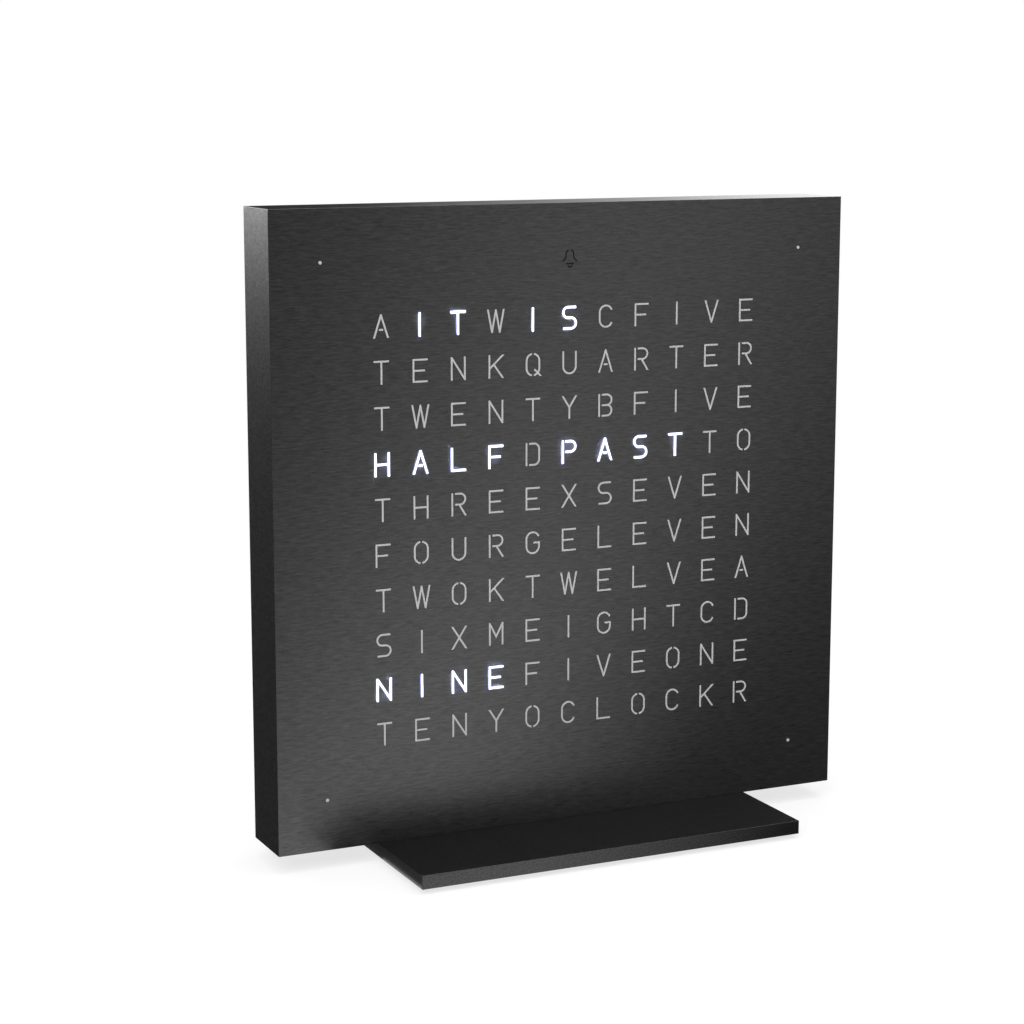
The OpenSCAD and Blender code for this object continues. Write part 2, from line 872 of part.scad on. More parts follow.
// A square notch round a post, open to the outside of the chassis
module corner_notch(p) {
  room = post_d / 2 + post_room;
  size = half_rail - post_at + room + cut;
  sx = sign(p[0]);
  sz = sign(p[1] - mid_z);
  translate([sx * (size / 2 - room), 0, sz * (size / 2 - room)])
    cube([size, y_seat - y_sheet + 2 * cut, size], center = true);
}

// A bent spring strip from the light board to the inside of the case's top wall
module touch_spring() {
  z0 = mid_z + half_panel;
  z1 = top_z - sheet_t;
  y1 = y_board + spring_lean;
  color("#b88a4a")
    translate([-spring_w / 2, 0, 0])
      rotate([90, 0, 90])
        linear_extrude(height = spring_w)
          polygon([
            [y_board, z0 - spring_foot_l],
            [y_board + spring_t, z0 - spring_foot_l],
            [y_board + spring_t, z0 - fit],
            [y1 + fit, z1 - spring_t],
            [y1 + spring_tip_l, z1 - spring_t],
            [y1 + spring_tip_l, z1],
            [y1, z1],
            [y_board, z0]
          ]);
}

// Pins and their bodies between the two boards
module board_link() {
  color("#2a2a2c")
    union() {
      length = link_pins * link_pitch;
      block(
        [link_x - length / 2, y_board, link_z - link_body_w / 2],
        [link_x + length / 2, y_controller, link_z + link_body_w / 2]
      );
      for (i = [0:link_pins - 1])
        rod(
          link_x + (i - (link_pins - 1) / 2) * link_pitch, link_z,
          link_pin_d, y_controller - link_pin_root, y_parts + link_pin_show
        );
    }
}

// ---------------------------------------------------------------------------------------------------------
// Controller board and what stands on it

// A round part on the back of the controller board
module can(x, z, d, h) {
  rod(x, z, d, y_parts, y_parts + h);
}

// A square-edged part on the back of the controller board
module chip(x, z, w, h, t) {
  block([x - w / 2, y_parts, z - h / 2], [x + w / 2, y_parts + t, z + h / 2]);
}

module controller_board() {
  color("#15402c")
    difference() {
      block(
        [-controller_w / 2, y_controller, controller_low],
        [controller_w / 2, y_parts, controller_high]
      );
      for (p = CONTROLLER_SCREWS)
        rod(p[0], p[1], small_d + 2 * shank_gap, y_controller - cut, y_parts + cut);
      for (i = [0:link_pins - 1])
        rod(
          link_x + (i - (link_pins - 1) / 2) * link_pitch, link_z,
          link_pin_d + 2 * thread_gap, y_controller - cut, y_parts + cut
        );
    }
}

module controller_screws() {
  color("#a9abad")
    for (p = CONTROLLER_SCREWS)
      from_behind(p[0], y_parts, p[1])
        pan_screw(small_d, controller_screw_l, small_head_d, small_head_t);
}

module microcontroller() {
  across = chip_size + 2 * chip_leg_reach;
  color("#202023")
    union() {
      chip(chip_x, part_z, chip_size, chip_size, chip_t);
      for (i = [0:chip_legs - 1]) {
        along = (i - (chip_legs - 1) / 2) * chip_leg_pitch;
        chip(chip_x + along, part_z, chip_leg_w, across, chip_leg_t);
        chip(chip_x, part_z + along, across, chip_leg_w, chip_leg_t);
      }
    }
}

module clock_crystal() {
  flat = crystal_w - crystal_h;
  color("#c4c6c8")
    union() {
      chip(chip_x, crystal_z, flat, crystal_h, crystal_t);
      for (side = [-1, 1])
        can(chip_x + side * flat / 2, crystal_z, crystal_h, crystal_t);
    }
}

module capacitors() {
  color("#b9bbbe")
    for (z = [cap_high, cap_high - cap_pitch])
      union() {
        can(cap_x, z, cap_d, cap_t);
        chip(cap_x, z, cap_d + 2 * cap_foot, cap_d + 2 * cap_foot, cap_foot_t);
      }
}

module voltage_regulator() {
  color("#242427")
    union() {
      chip(cap_x, regulator_z, regulator_w, regulator_h, regulator_t);
      for (i = [-1, 0, 1])
        chip(
          cap_x + i * regulator_lead_pitch, regulator_z - (regulator_h + regulator_lead_l) / 2,
          regulator_lead_w, regulator_lead_l + fit, regulator_lead_t
        );
      chip(
        cap_x, regulator_z + (regulator_h + regulator_tab_l) / 2,
        regulator_tab_w, regulator_tab_l + fit, regulator_lead_t
      );
    }
}

module sounder() {
  color("#1b1b1d")
    difference() {
      can(sounder_x, part_z, sounder_d, sounder_t);
      rod(sounder_x, part_z, sounder_hole_d, y_parts + sounder_t / 2, y_parts + sounder_t + cut);
    }
}

module cell_holder() {
  color("#26262a")
    difference() {
      chip(cell_x, part_z, holder_w, holder_h, holder_floor + cell_t - cell_show);
      rod(cell_x, part_z, cell_d + 2 * fit, y_parts + holder_floor, y_parts + holder_floor + cell_t + cut);
    }
}

module backup_cell() {
  rest = y_parts + holder_floor;
  color("#c9cbcc")
    union() {
      rod(cell_x, part_z, cell_d, rest + cell_step_share * cell_t, rest + cell_t);
      rod(cell_x, part_z, cell_d - cell_step, rest, rest + cell_t / 2);
    }
}

// A bent strip over the cell, with its feet on the board
module cell_clip() {
  top = holder_floor + cell_t;
  color("#b2b4b6")
    union() {
      block(
        [cell_x - holder_w / 2 - clip_t, y_parts + top, part_z - clip_w / 2],
        [cell_x + holder_w / 2 + clip_t, y_parts + top + clip_t, part_z + clip_w / 2]
      );
      for (side = [-1, 1])
        translate([cell_x + side * (holder_w + clip_t) / 2, y_parts + (top + clip_t) / 2, part_z])
          cube([clip_t, top + clip_t, clip_w], center = true);
    }
}

// ---------------------------------------------------------------------------------------------------------
// Keys

module key_switches() {
  color("#2c2c30")
    for (x = KEY_X)
      difference() {
        chip(x, key_z, switch_size, switch_size, switch_h);
        rod(
          x, key_z, plunger_d + 2 * plunger_gap,
          switch_top - plunger_seat - key_travel - plunger_room, switch_top + cut
        );
      }
}

module plunger(i) {
  color("#8a2f2a")
    rod(KEY_X[i], key_z, plunger_d, switch_top - plunger_seat, plunger_top);
}

// A key cap: a stem on the plunger, a flange inside the cover, and the round key itself
module key_cap(i) {
  x = KEY_X[i];
  color("#242426")
    difference() {
      union() {
        rod(x, key_z, key_stem_d, plunger_top, y_inner - key_flange_t / 2);
        rod(x, key_z, key_flange_d, y_inner - key_flange_t, y_inner);
        rod(x, key_z, key_d, y_inner - key_flange_t / 2, y_back + key_proud);
      }
      upright(x, key_z, y_back + key_proud - symbol_depth, y_back + key_proud + cut)
        children();
    }
}

// Symbols: plain marks, cut into the keys
module dial_mark() {
  r = key_d * 0.3;
  difference() {
    circle(r = r);
    circle(r = r - symbol_w);
  }
  translate([-symbol_w / 2, -symbol_w / 2])
    square([symbol_w, r * 0.75]);
  translate([-symbol_w / 2, -symbol_w / 2])
    square([r * 0.7, symbol_w]);
}

module minus_mark() {
  square([key_d * 0.5, symbol_w], center = true);
}

module plus_mark() {
  minus_mark();
  square([symbol_w, key_d * 0.5], center = true);
}

module bell_mark() {
  for (s = BELL)
    stroke(s, symbol_w * 0.8);
}

// ---------------------------------------------------------------------------------------------------------
// Power inlet, its pin and nut, and the lead to the controller board

module power_inlet() {
  color("#1a1a1c")
    difference() {
      union() {
        rod(inlet_x, inlet_z, inlet_d, inlet_tip, y_back + inlet_flange_t);
        rod(inlet_x, inlet_z, inlet_flange_d, y_back, y_back + inlet_flange_t);
        for (side = [-1, 1])
          inlet_tab(side);
      }
      rod(inlet_x, inlet_z, plug_hole_d, inlet_tip + inlet_floor, y_back + inlet_flange_t + cut);
      rod(inlet_x, inlet_z, pin_root_d + 2 * thread_gap, inlet_tip - cut, y_back);
    }
}

// A solder tab that stands up from the inlet's barrel
module inlet_tab(side) {
  x = inlet_x + side * lead_step / 2;
  z1 = inlet_z + inlet_d / 2 + tab_l;
  block([x - tab_w / 2, tab_y, inlet_z + plug_hole_d / 2 + tab_root], [x + tab_w / 2, tab_y + tab_t, z1]);
}

// The pin stands on the barrel's floor, with a thinner root pressed through it
module inlet_pin() {
  color("#c9b37a")
    union() {
      rod(inlet_x, inlet_z, pin_d, inlet_tip + inlet_floor, y_back - pin_sunk);
      rod(inlet_x, inlet_z, pin_root_d, inlet_tip, inlet_tip + inlet_floor + cut);
    }
}

module inlet_nut() {
  color("#8d8f92")
    difference() {
      translate([inlet_x, y_inner, inlet_z])
        rotate([90, 0, 0])
          cylinder(d = nut_d, h = nut_t, $fn = 6);
      rod(inlet_x, inlet_z, inlet_d + 2 * thread_gap, y_inner - nut_t - cut, y_inner + cut);
    }
}

module power_socket() {
  color("#e3dfd2")
    difference() {
      chip(inlet_x, socket_low + socket_h / 2, socket_w, socket_h, socket_t);
      for (side = [-1, 1])
        translate([inlet_x + side * lead_step / 2, lead_y, socket_low - cut])
          cylinder(d = lead_d + 2 * thread_gap, h = cut + socket_bore_l);
    }
}

// A round wire through a list of points, a little thicker where it bends
module wire(points, d) {
  for (i = [0:len(points) - 2]) {
    a = points[i];
    run = points[i + 1] - a;
    flat = norm([run[0], run[1]]);
    translate(a)
      rotate([0, atan2(flat, run[2]), atan2(run[1], run[0])])
        cylinder(d = d, h = norm(run));
    if (i > 0)
      translate(a)
        sphere(d = d * bend_swell);
  }
}

module power_lead(side) {
  x = inlet_x + side * lead_step / 2;
  start_y = tab_y + tab_t + lead_d / 2;
  start_z = inlet_z + inlet_d / 2 + tab_l / 2;
  wire([
    [x, start_y, start_z],
    [x, start_y, start_z + lead_rise],
    [x, lead_y, start_z + lead_rise + lead_lean],
    [x, lead_y, socket_low + lead_end]
  ], lead_d);
}

module power_lead_red() {
  color("#a32420")
    power_lead(-1);
}

module power_lead_black() {
  color("#141416")
    power_lead(1);
}

// ---------------------------------------------------------------------------------------------------------
// Rear cover

module rear_cover() {
  color("#232325")
    difference() {
      union() {
        slab(half_rail, y_seat, y_rear);
        round_slab(half_cover, cover_corner_r, y_rear - flange_t / 2, y_back);
      }
      slab(half_pocket, y_seat - cut, y_inner);
      for (x = KEY_X)
        rod(x, key_z, key_d + 2 * key_gap, y_inner - cut, y_back + cut);
      rod(inlet_x, inlet_z, inlet_d + 2 * thread_gap, y_inner - cut, y_back + cut);
      for (i = [0:slot_count - 1])
        sound_slot(i - (slot_count - 1) / 2);
      for (p = corners(post_at))
        from_behind(p[0], y_back, p[1])
          countersunk_hole(m3_d, y_back - y_seat + cut, m3_head_d, m3_head_t + cut);
    }
}

// The slots are shorter away from the middle, so that they fill a circle over the sounder
module sound_slot(step) {
  length = slot_l * sqrt(1 - pow(step / slot_count * 1.5, 2));
  x = sounder_x + step * slot_pitch;
  block([x - slot_w / 2, y_inner - cut, part_z - length / 2], [x + slot_w / 2, y_back + cut, part_z + length / 2]);
}

module cover_screws() {
  color("#6f7174")
    for (p = corners(post_at))
      from_behind(p[0], y_back - head_sink, p[1])
        countersunk_screw(m3_d, cover_screw_l, m3_head_d, m3_head_t);
}

// ---------------------------------------------------------------------------------------------------------
// Base

module base_plate() {
  color("#28282a")
    difference() {
      block([-base_w / 2, -base_d / 2, base_z], [base_w / 2, base_d / 2, case_z]);
      for (side = [-1, 1])
        translate([side * base_screw_x, base_screw_y, base_z])
          rotate([180, 0, 0])
            countersunk_hole(m3_d, base_t + cut, m3_head_d, m3_head_t);
    }
}

module base_inserts() {
  color("#b59a55")
    for (side = [-1, 1])
      translate([side * base_screw_x, base_screw_y, case_z + sheet_t + fit])
        difference() {
          cylinder(d = insert_d, h = insert_l);
          translate([0, 0, -cut])
            cylinder(d = m3_d + 2 * thread_gap, h = insert_l + 2 * cut);
        }
}

module base_screws() {
  color("#6f7174")
    for (side = [-1, 1])
      translate([side * base_screw_x, base_screw_y, base_z + head_sink])
        rotate([180, 0, 0])
          countersunk_screw(m3_d, base_screw_l, m3_head_d, m3_head_t);
}

module rubber_feet() {
  color("#121212")
    for (side = [-1, 1], end = [-1, 1])
      translate([side * (base_w / 2 - foot_inset), end * (base_d / 2 - foot_inset), 0])
        cylinder(d = foot_d, h = foot_t);
}

// ---------------------------------------------------------------------------------------------------------

front_plate();
side_frame();
frame_posts();
letter_diffuser();
alarm_window();
light_grid();
led_board();
word_leds();
minute_leds();
alarm_led();
light_sensor();
led_drivers();
panel_screws();
chassis();
touch_spring();
board_link();
controller_board();
controller_screws();
microcontroller();
clock_crystal();
capacitors();
voltage_regulator();
sounder();
cell_holder();
backup_cell();
cell_clip();
key_switches();
plunger(0);  // plunger_mode
plunger(1);  // plunger_minus
plunger(2);  // plunger_plus
plunger(3);  // plunger_alarm
key_cap(0) dial_mark();  // key_mode
key_cap(1) minus_mark();  // key_minus
key_cap(2) plus_mark();  // key_plus
key_cap(3) bell_mark();  // key_alarm
power_inlet();
inlet_pin();
inlet_nut();
power_socket();
power_lead_red();
power_lead_black();
rear_cover();
cover_screws();
base_plate();
base_inserts();
base_screws();
rubber_feet();
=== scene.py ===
"""The looks of the desk word clock: finishes, lit words, softened edges and the studio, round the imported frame.

Everything is in metres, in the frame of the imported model. Patterns are given in millimetres, because a
finish is known by the size of its grain.
"""

import math

import bpy
from bpy.props import FloatProperty, FloatVectorProperty, IntProperty, StringProperty
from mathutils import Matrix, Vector


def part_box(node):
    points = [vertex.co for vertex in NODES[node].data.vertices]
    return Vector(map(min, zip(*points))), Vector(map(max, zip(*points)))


bl_info = {
    "name": "Desk Word Clock",
    "version": (1, 0, 0),
    "blender": (4, 5, 0),
    "location": "3D View > Sidebar > Word Clock",
    "description": "Finishes a desk word clock: brushed steel face, lit words, moulded rear cover and studio",
    "category": "Object",
}

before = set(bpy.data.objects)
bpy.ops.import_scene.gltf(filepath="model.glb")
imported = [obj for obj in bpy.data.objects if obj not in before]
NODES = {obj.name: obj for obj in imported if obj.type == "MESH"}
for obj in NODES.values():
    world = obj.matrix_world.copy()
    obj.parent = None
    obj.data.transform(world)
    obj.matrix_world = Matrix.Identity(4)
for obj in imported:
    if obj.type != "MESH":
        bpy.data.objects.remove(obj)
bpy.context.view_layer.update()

MM = 0.001
# A point this near to an edge or a face counts as on it
NEAR_BY = 0.05 * MM
# Points closer than this are one point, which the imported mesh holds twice
SAME_SPOT = 0.001 * MM

# Places read from the frame
SHEET_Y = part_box("front_plate")[1].y
CASE_LOW, CASE_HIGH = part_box("front_plate")
MIDDLE_Z = (CASE_LOW.z + CASE_HIGH.z) / 2

# The words that are lit, by row from the top and by columns from the left: the clock shows half past nine
LIT_CELLS = {0: (1, 2, 4, 5), 3: (0, 1, 2, 3, 5, 6, 7, 8), 8: (0, 1, 2, 3)}


# ---------------------------------------------------------------------------------------------------------
# Values that a user would change


class WordClockFace(bpy.types.PropertyGroup):
    """Letters and light of the face"""

    rows: IntProperty(name="Rows", description="Rows of letters", default=10, min=1)
    columns: IntProperty(name="Columns", description="Letters in a row", default=11, min=1)
    row_pitch: FloatProperty(
        name="Row pitch", description="Distance between two rows", default=9.63 * MM, unit="LENGTH", precision=5
    )
    column_pitch: FloatProperty(
        name="Column pitch", description="Distance between two columns", default=8.67 * MM, unit="LENGTH", precision=5
    )
    drop: FloatProperty(
        name="Drop", description="How far the letters' middle lies below the face's middle",
        default=0.25 * MM, unit="LENGTH", precision=5,
    )
    glow: FloatProperty(name="Glow", description="Strength of a lit stroke's front", default=1.2, min=0)
    # Painted halo: the sides of a lit stroke glow far brighter than its diode makes them, which paints a halo of
    # light on the steel round it
    painted_halo: FloatProperty(
        name="Spill", description="Strength of a lit stroke's sides, which light the steel round it",
        default=800.0, min=0,
    )


class WordClockFinish(bpy.types.PropertyGroup):
    """Colours of the finishes, as sRGB hex values"""

    face: StringProperty(name="Face", description="Black brushed steel of the face", default="#555555")
    walls: StringProperty(name="Walls", description="Black blasted steel of the case walls", default="#4C4C4C")
    base: StringProperty(name="Base", description="Black blasted steel of the base plate", default="#4C4C4C")
    letter: StringProperty(name="Letter", description="Opal resin of the unlit letters", default="#A4A4A4")
    light: StringProperty(name="Light", description="Colour of the lit letters", default="#F2F4FF")
    # The colour of the painted halo round the lit letters
    painted_halo: StringProperty(name="Spill", description="Colour of the light beside the lit letters", default="#C2CAFF")
    cover: StringProperty(name="Cover", description="Moulded rear cover", default="#1C1C1D")
    key: StringProperty(name="Key", description="Moulded keys", default="#161617")


class WordClockStage(bpy.types.PropertyGroup):
    """Camera, lamps and floor"""

    lens: FloatProperty(name="Lens", description="Focal length in millimetres", default=85.0, min=1)
    camera: FloatVectorProperty(
        name="Camera", description="Where the camera stands", default=(-0.22878, -0.47278, 0.16347), unit="LENGTH"
    )
    looks: FloatVectorProperty(
        name="Looks along", description="The camera's line of sight", default=(0.4160, 0.8926, -0.1739)
    )
    ambient: FloatProperty(name="Ambient", description="Soft light from all round", default=0.75, min=0)


GROUPS = {
    "word_clock_face": WordClockFace,
    "word_clock_finish": WordClockFinish,
    "word_clock_stage": WordClockStage,
}


# ---------------------------------------------------------------------------------------------------------
# Small helpers


def linear(colour):
    """An sRGB hex value as linear red, green, blue and alpha."""
    parts = [int(colour[i:i + 2], 16) / 255 for i in (1, 3, 5)]
    return tuple(c / 12.92 if c <= 0.04045 else ((c + 0.055) / 1.055) ** 2.4 for c in parts) + (1.0,)


def add(tree, kind, inputs=(), **settings):
    """Adds a node with its settings. inputs gives each socket a value or another node's output."""
    node = tree.nodes.new(kind)
    for name, value in settings.items():
        setattr(node, name, value)
    for key, value in dict(inputs).items():
        if isinstance(value, bpy.types.NodeSocket):
            tree.links.new(value, node.inputs[key])
        else:
            node.inputs[key].default_value = value
    return node


def finish_of(name, colour, roughness, metallic=0.0, **constants):
    """A new material with one principled shader. Returns the material, its tree and the shader."""
    material = bpy.data.materials.new(name)
    material.use_nodes = True
    tree = material.node_tree
    shader = tree.nodes["Principled BSDF"]
    shader.inputs["Base Color"].default_value = linear(colour)
    shader.inputs["Roughness"].default_value = roughness
    shader.inputs["Metallic"].default_value = metallic
    for socket, value in constants.items():
        shader.inputs[socket.replace("_", " ")].default_value = value
    material.diffuse_color = linear(colour)
    return material, tree, shader


def place(tree, size_mm=(1.0, 1.0, 1.0)):
    """The point on the object, in units of a pattern's size in millimetres along X, Y and Z."""
    where = add(tree, "ShaderNodeTexCoord").outputs["Object"]
    scale = [1 / (s * MM) for s in size_mm]
    return add(tree, "ShaderNodeMapping", {"Vector": where, "Scale": scale}).outputs["Vector"]


def noise(tree, size_mm, detail=2.0, roughness=0.5, warp=0.0, seed=0.0):
    """Noise that repeats about every size_mm. One size, or one each along X, Y and Z."""
    sizes = size_mm if isinstance(size_mm, (tuple, list)) else (size_mm,) * 3
    return add(
        tree, "ShaderNodeTexNoise",
        {
            "Vector": place(tree, sizes), "Scale": 1.0, "Detail": detail, "Roughness": roughness,
            "Distortion": warp, "W": seed,
        },
        noise_dimensions="4D",
    ).outputs["Fac"]


def spread(tree, value, low, high, start=0.3, end=0.7):
    """Stretches a noise value from start..end to low..high."""
    return add(
        tree, "ShaderNodeMapRange",
        {"Value": value, "From Min": start, "From Max": end, "To Min": low, "To Max": high},
    ).outputs["Result"]


def blend(tree, first, second, share):
    """Two values mixed, with the given share of the second."""
    return add(tree, "ShaderNodeMix", {0: share, 2: first, 3: second}).outputs[0]


def tint(tree, value, colour, low, high):
    """The colour made darker and lighter, from low to high times itself, by a noise value."""
    shade = spread(tree, value, low, high)
    grey = add(tree, "ShaderNodeCombineColor", {0: shade, 1: shade, 2: shade}).outputs[0]
    return add(
        tree, "ShaderNodeMix", {6: linear(colour), 7: grey, 0: 1.0}, data_type="RGBA", blend_type="MULTIPLY"
    ).outputs[2]


def bump(tree, height, depth_mm, strength=1.0, normal=None):
    """Relief of a depth in millimetres."""
    inputs = {"Height": height, "Distance": depth_mm * MM, "Strength": strength}
    if normal is not None:
        inputs["Normal"] = normal
    return add(tree, "ShaderNodeBump", inputs).outputs["Normal"]


def dress(node, *materials):
    """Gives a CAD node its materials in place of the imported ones."""
    slots = NODES[node].data.materials
    slots.clear()
    for material in materials:
        slots.append(material)


def polygons(node):
    """Each polygon of a CAD node, with its middle and its normal."""
    mesh = NODES[node].data
    for polygon in mesh.polygons:
        yield polygon, polygon.center, polygon.normal


def soften(node, width_mm, chosen, segments=3):
    """Rounds the sharp edges of a CAD node whose middle is chosen. The mesh comes with its vertices doubled
    along sharp edges, so the faces beside an edge are matched by place, and welded before the bevel."""
    piece = NODES[node]
    mesh = piece.data
    spots = [tuple(round(c / SAME_SPOT) for c in v.co) for v in mesh.vertices]
    sides = {}
    for polygon in mesh.polygons:
        for a, b in polygon.edge_keys:
            sides.setdefault(frozenset((spots[a], spots[b])), []).append(polygon.normal.copy())
    weights = mesh.attributes.new("bevel_weight_edge", "FLOAT", "EDGE")
    count = 0
    for edge in mesh.edges:
        a, b = edge.vertices
        beside = sides[frozenset((spots[a], spots[b]))]
        if len(beside) != 2 or beside[0].angle(beside[1], 0.0) < math.radians(30):
            continue
        if chosen((mesh.vertices[a].co + mesh.vertices[b].co) / 2):
            weights.data[edge.index].value = 1.0
            count += 1
    if not count:
        raise RuntimeError(f"no edge of {node} was chosen")
    weld = piece.modifiers.new("weld", "WELD")
    weld.merge_threshold = SAME_SPOT
    bevel = piece.modifiers.new("bevel", "BEVEL")
    bevel.limit_method = "WEIGHT"
    bevel.width = width_mm * MM
    bevel.segments = segments
    bevel.harden_normals = True


# ---------------------------------------------------------------------------------------------------------
# Metals


def brushed_black_steel(colour):
    """Stainless steel, line-brushed by a belt and then blackened. The scratches are short, level and a little
    wavy. They spread a highlight up and down, and the fine tooth between them gives the dark parts a grain."""
    material, tree, shader = finish_of("brushed_black_steel", colour, 0.3, 0.96, Anisotropic=0.3)
    scratches = noise(tree, (2.8, 2.8, 0.36), detail=2.0, roughness=0.55, warp=0.6)
    hairs = noise(tree, (1.6, 1.6, 0.2), detail=2.0, seed=5.0)
    tooth = noise(tree, 0.3, detail=2.0, seed=3.0)
    fine = blend(tree, hairs, tooth, 0.5)
    both = blend(tree, scratches, fine, 0.4)
    tree.links.new(tint(tree, both, colour, 0.62, 1.38), shader.inputs["Base Color"])
    tree.links.new(spread(tree, both, 0.27, 0.33), shader.inputs["Roughness"])
    tree.links.new(bump(tree, both, 0.006), shader.inputs["Normal"])
    tangent = add(tree, "ShaderNodeTangent", direction_type="RADIAL", axis="X").outputs[0]
    tree.links.new(tangent, shader.inputs["Tangent"])
    return material


def blasted_black_steel(name, colour, roughness, grain_mm, mottle):
    """The same black steel, blasted with grit: a satin with a mottled grain. The grain is coarser than a blasted
    finish has, and longer in depth, so that it still shows where a wall is seen at a slant."""
    material, tree, shader = finish_of(name, colour, roughness, 1.0)
    grain = noise(tree, (grain_mm, grain_mm * 2.6, grain_mm), detail=2.0, roughness=0.6)
    tree.links.new(tint(tree, grain, colour, 1 - mottle, 1 + mottle), shader.inputs["Base Color"])
    tree.links.new(spread(tree, grain, roughness * 0.95, roughness * 1.05), shader.inputs["Roughness"])
    tree.links.new(bump(tree, grain, grain_mm * 0.02), shader.inputs["Normal"])
    return material


def plain_metal(name, colour, roughness, grain_mm=0.4, mottle=0.06, relief_mm=0.003):
    """A turned, pressed or plated metal with a fine even tooth."""
    material, tree, shader = finish_of(name, colour, roughness, 1.0)
    grain = noise(tree, grain_mm, detail=3.0)
    tree.links.new(tint(tree, grain, colour, 1 - mottle, 1 + mottle), shader.inputs["Base Color"])
    tree.links.new(spread(tree, grain, roughness * 0.85, roughness * 1.15), shader.inputs["Roughness"])
    tree.links.new(bump(tree, grain, relief_mm), shader.inputs["Normal"])
    return material


# ---------------------------------------------------------------------------------------------------------
# Plastics, boards and rubber


def moulded_plastic(name, colour, roughness, grain_mm=0.25, relief_mm=0.01, ior=1.5, mottle=0.05):
    """An injection moulded plastic. Its surface is the mould's: spark-eroded, etched or polished."""
    material, tree, shader = finish_of(name, colour, roughness, 0.0, IOR=ior)
    grain = noise(tree, grain_mm, detail=2.0)
    tree.links.new(tint(tree, grain, colour, 1 - mottle, 1 + mottle), shader.inputs["Base Color"])
    tree.links.new(spread(tree, grain, roughness * 0.9, roughness * 1.1), shader.inputs["Roughness"])
    tree.links.new(bump(tree, grain, relief_mm), shader.inputs["Normal"])
    return material


def opal_resin(colour):
    """Cast opal resin, ground flush: milky and close to white, with faint clouds in it."""
    material, tree, shader = finish_of("opal_resin", colour, 0.45, 0.0, IOR=1.5)
    cloud = noise(tree, 0.2, detail=2.0)
    tree.links.new(tint(tree, cloud, colour, 0.95, 1.05), shader.inputs["Base Color"])
    tree.links.new(bump(tree, cloud, 0.003), shader.inputs["Normal"])
    return material


def lit_resin(name, colour, strength, painted_halo=None, reach_mm=1.6):
    """The same resin with its diode on behind it: the light fills the stroke from edge to edge. With spill, the
    resin's sides glow far brighter than the diode would make them, and throw up to that much on what lies within its
    reach: a painted glow, which paints the halo on the steel round a stroke. The glow rises and falls over the reach,
    so that the halo is soft and the stroke keeps its width."""
    material, tree, shader = finish_of(
        name, colour, 0.45, 0.0, IOR=1.5, Emission_Color=linear(colour), Emission_Strength=strength
    )
    # Painted glow: rays from within the reach see the sides glow up to the spill strength, which paints the halo on
    # the steel; rays from farther see only the stroke's own strength
    if painted_halo:
        way = add(tree, "ShaderNodeLightPath").outputs["Ray Length"]
        out = spread(tree, way, 0.0, 1.0, 0.0, reach_mm * MM)
        back = spread(tree, way, 1.0, 0.0, 0.0, reach_mm * MM)
        arch = add(tree, "ShaderNodeMath", {0: out, 1: back}, operation="MULTIPLY").outputs[0]
        glow = spread(tree, arch, strength, painted_halo, 0.0, 0.25)
        tree.links.new(glow, shader.inputs["Emission Strength"])
    cloud = noise(tree, 0.2, detail=2.0)
    tree.links.new(tint(tree, cloud, colour, 0.97, 1.03), shader.inputs["Base Color"])
    return material


def solder_mask(name, mask, copper, track_mm=0.9):
    """A glass-fibre board under solder mask, with the tracks below it showing as a faint relief."""
    material, tree, shader = finish_of(name, mask, 0.35, 0.0, IOR=1.5)
    tracks = add(
        tree, "ShaderNodeTexVoronoi", {"Vector": place(tree, (track_mm * 4,) * 3), "Scale": 1.0},
        distance="CHEBYCHEV", feature="F1",
    ).outputs["Distance"]
    edge = add(tree, "ShaderNodeMath", {0: tracks, 1: 0.42}, operation="GREATER_THAN").outputs[0]
    colour = add(
        tree, "ShaderNodeMix", {0: edge, 6: linear(mask), 7: linear(copper)}, data_type="RGBA"
    ).outputs[2]
    tree.links.new(colour, shader.inputs["Base Color"])
    tree.links.new(bump(tree, edge, 0.03), shader.inputs["Normal"])
    return material


def bare_diode():
    """The white ceramic body of a surface-mount diode."""
    return moulded_plastic("diode_ceramic", "#F2F0E6", 0.4, 0.3, 0.004)


# ---------------------------------------------------------------------------------------------------------
# Operators: one for each piece or group of like pieces


class ClockOperator:
    """What the operators share."""

    bl_options = {"REGISTER", "UNDO"}

    def execute(self, context):
        self.make(
            context.scene.word_clock_face, context.scene.word_clock_finish, context.scene.word_clock_stage
        )
        return {"FINISHED"}


class WORDCLOCK_OT_case(ClockOperator, bpy.types.Operator):
    """Finishes the steel case: the brushed face, the blasted walls and the welded posts"""

    bl_idname = "word_clock.case"
    bl_label = "Case"

    def make(self, face, finish, stage):
        walls = blasted_black_steel(
            "blasted_black_steel", finish.walls, roughness=0.29, grain_mm=0.44, mottle=0.62
        )
        dress("front_plate", brushed_black_steel(finish.face), walls)
        dress("side_frame", walls)

        def outer(middle, margin):
            return abs(middle.x) > CASE_HIGH.x - margin or not (
                CASE_LOW.z + margin < middle.z < CASE_HIGH.z - margin
            )

        for polygon, middle, normal in polygons("front_plate"):
            polygon.material_index = int(outer(middle, 2 * NEAR_BY))
        # The seam between the face and the walls stays shut, so its edges aren't rounded
        soften(
            "front_plate", 0.06, lambda middle: outer(middle, NEAR_BY) and middle.y < SHEET_Y - 2 * NEAR_BY
        )
        soften(
            "side_frame", 0.06, lambda middle: outer(middle, NEAR_BY) and middle.y > SHEET_Y + 2 * NEAR_BY
        )
        dress("frame_posts", plain_metal("turned_steel", "#A7A9AC", 0.3))


